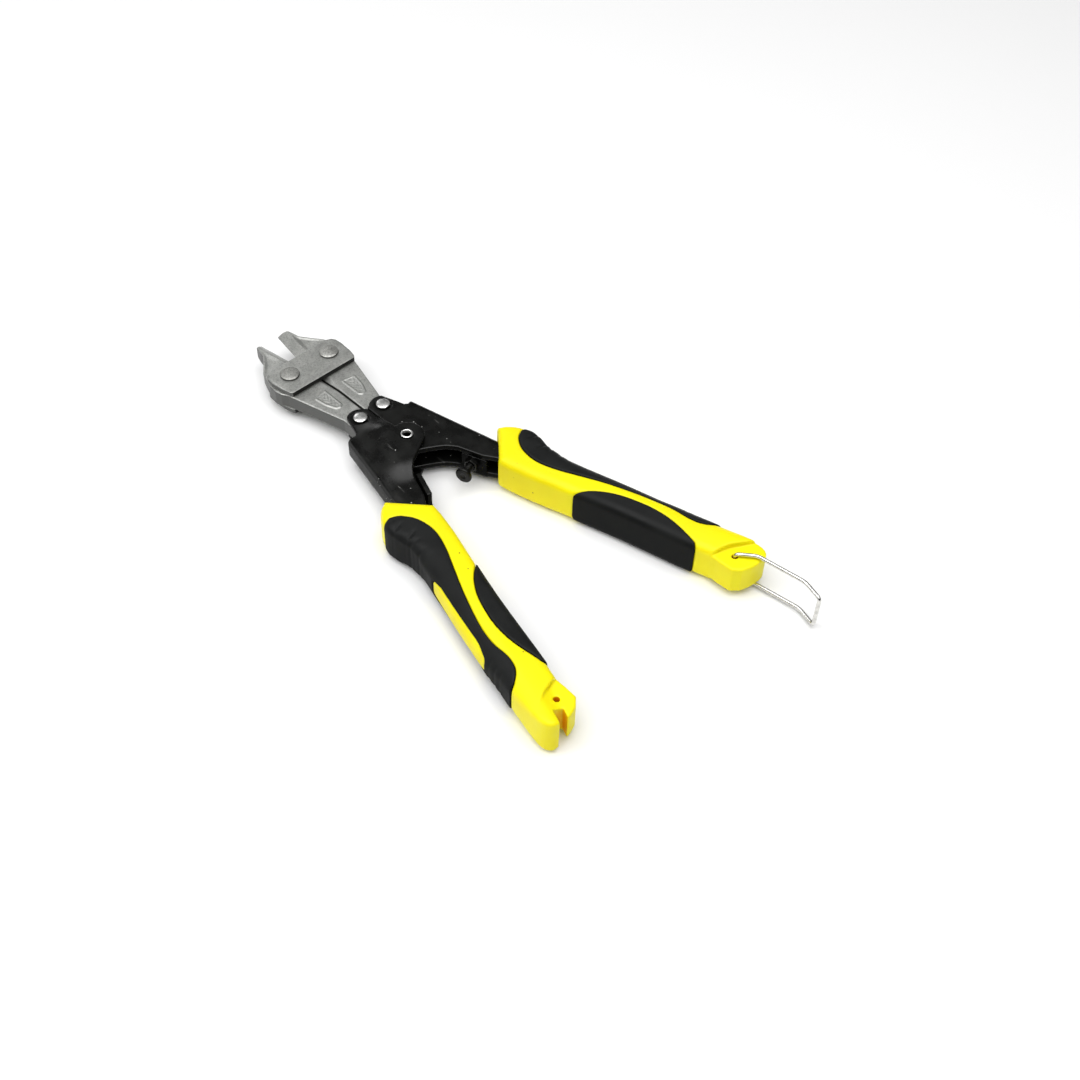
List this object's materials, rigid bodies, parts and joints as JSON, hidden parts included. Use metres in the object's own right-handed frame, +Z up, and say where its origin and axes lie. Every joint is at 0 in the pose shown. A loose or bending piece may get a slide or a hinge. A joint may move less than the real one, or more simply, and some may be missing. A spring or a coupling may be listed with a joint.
{
  "type": "mini bolt cutter",
  "caption": "Open compound-action hand cutter: pivoting jaws between link plates, pressed channel handles with two-tone grips, stop screw and wire latch.",
  "frame": {"origin": "centre of the open tool's box in plan, on the surface the tool lies on", "axes": "+X from the jaws to the grips, +Y towards the handle that carries the wire latch, +Z up"},
  "size_m": [0.2244, 0.1018, 0.016],
  "materials": {
    "forged_steel": "satin ground and tumbled forging, grey",
    "plate_steel": "satin pressed plate, grey",
    "bright_rivet": "bright turned rivet",
    "black_paint": "gloss black coat over pressed steel",
    "yellow_shell": "semi-gloss yellow moulding",
    "black_grip": "soft black moulded grip",
    "blackened_screw": "blackened steel",
    "bright_wire": "bright drawn wire"
  },
  "bodies": {
    "right_handle": {"right_handle_channel": "black_paint", "right_grip_shell": "yellow_shell", "right_palm_inlay": "black_grip", "right_finger_panel": "black_grip", "stop_screw": "blackened_screw", "stop_nut": "blackened_screw", "main_pivot_rivet": "bright_rivet", "right_tail_rivet": "bright_rivet"},
    "left_handle": {"left_handle_channel": "black_paint", "left_grip_shell": "yellow_shell", "left_palm_inlay": "black_grip", "left_finger_panel": "black_grip", "left_tail_rivet": "bright_rivet"},
    "right_jaw": {"right_jaw": "forged_steel"},
    "left_jaw": {"left_jaw": "forged_steel", "left_jaw_rivet": "bright_rivet"},
    "link_plates": {"front_link_plate": "plate_steel", "back_link_plate": "plate_steel", "right_jaw_rivet": "bright_rivet"},
    "latch": {"wire_latch": "bright_wire"}
  },
  "joints": [
    {"name": "handle_pivot", "type": "hinge", "parent": "right_handle", "child": "left_handle", "pos_m": [-0.03374, 0, 0.008], "axis": [0, 0, 1], "range_deg": [0, 33.8]},
    {"name": "left_tail_pivot", "type": "hinge", "parent": "left_handle", "child": "left_jaw", "pos_m": [-0.05275, -0.0052, 0.008], "axis": [0, 0, 1], "range_deg": [-28, 0.5]},
    {"name": "right_tail_pivot", "type": "hinge", "parent": "right_handle", "child": "right_jaw", "pos_m": [-0.05275, 0.0052, 0.008], "axis": [0, 0, 1], "range_deg": [-0.5, 28]},
    {"name": "jaw_pivot", "type": "hinge", "parent": "right_jaw", "child": "link_plates", "pos_m": [-0.08774, 0.009, 0.008], "axis": [0, 0, 1], "range_deg": [-10, 0.5]},
    {"name": "latch_swing", "type": "hinge", "parent": "right_handle", "child": "latch", "pos_m": [0.08069, 0.04112, 0.008], "axis": [0, 0, 1], "range_deg": [-70, 40]}
  ],
  "couplings": [
    {"joint": "left_tail_pivot", "follows": "handle_pivot", "ratio": -0.755},
    {"joint": "right_tail_pivot", "follows": "handle_pivot", "ratio": 0.755},
    {"joint": "jaw_pivot", "follows": "handle_pivot", "ratio": -0.255}
  ]
}
